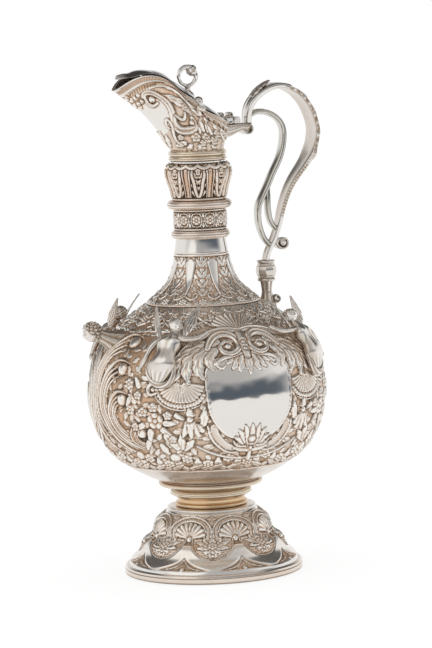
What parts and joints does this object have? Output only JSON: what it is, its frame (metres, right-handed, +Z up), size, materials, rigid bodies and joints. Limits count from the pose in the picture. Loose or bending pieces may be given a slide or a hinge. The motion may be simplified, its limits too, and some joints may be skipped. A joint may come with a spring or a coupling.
{
  "type": "silver jug",
  "caption": "Silver ewer with a hinged lid, pear-shaped spout, slender neck, round chased body with winged figures, scroll handle and stepped foot.",
  "frame": {"origin": "centre of the plane that the foot rests on, on the jug's axis", "axes": "+Z up the jug's axis; +X to the handle, -X to the spout; the X-Z plane is the mirror plane"},
  "size_m": [0.1568, 0.1446, 0.3045],
  "materials": {
    "raised_silver": "raised and chased silver sheet, polished on the high parts and dark in the grounds",
    "cast_silver": "cast and chased silver with dark recesses",
    "gilt_silver": "worn gilding on silver"
  },
  "bodies": {
    "jug": {"body_bowl": "raised_silver", "body_shoulder": "raised_silver", "figure_handle_left": "cast_silver", "figure_handle_right": "cast_silver", "figure_spout_left": "cast_silver", "figure_spout_right": "cast_silver", "foot_cap": "raised_silver", "foot_dome": "raised_silver", "foot_rim": "raised_silver", "handle_inner_branch": "cast_silver", "handle_inner_scroll": "cast_silver", "handle_knop": "cast_silver", "handle_leaf": "cast_silver", "handle_socket": "cast_silver", "handle_strap": "cast_silver", "handle_terminal": "cast_silver", "handle_volute": "cast_silver", "hinge_bracket": "cast_silver", "hinge_pin": "cast_silver", "knop_ring_lower": "cast_silver", "knop_ring_upper": "cast_silver", "neck_band": "raised_silver", "neck_calyx": "raised_silver", "neck_cone": "raised_silver", "neck_ring_lower": "raised_silver", "neck_ring_upper": "raised_silver", "neck_tube": "raised_silver", "spout_mask": "cast_silver", "spout_rim": "raised_silver", "spout_shell": "raised_silver", "stem_collar": "gilt_silver", "stem_ring_lower": "raised_silver", "stem_ring_upper": "raised_silver", "terminal_leaf": "cast_silver", "throat_ring_lower": "gilt_silver", "throat_ring_upper": "gilt_silver", "wings_handle_left": "cast_silver", "wings_handle_right": "cast_silver", "wings_spout_left": "cast_silver", "wings_spout_right": "cast_silver"},
    "lid": {"lid_shell": "raised_silver", "lid_hinge_leaf": "cast_silver", "thumb_scroll": "cast_silver", "lid_finial": "cast_silver", "finial_nut": "cast_silver", "finial_boss": "cast_silver"}
  },
  "joints": [
    {"name": "lid_hinge", "type": "hinge", "parent": "jug", "child": "lid", "pos_m": [0.0243, 0, 0.27043], "axis": [0, 1, 0], "range_deg": [0, 80]}
  ]
}
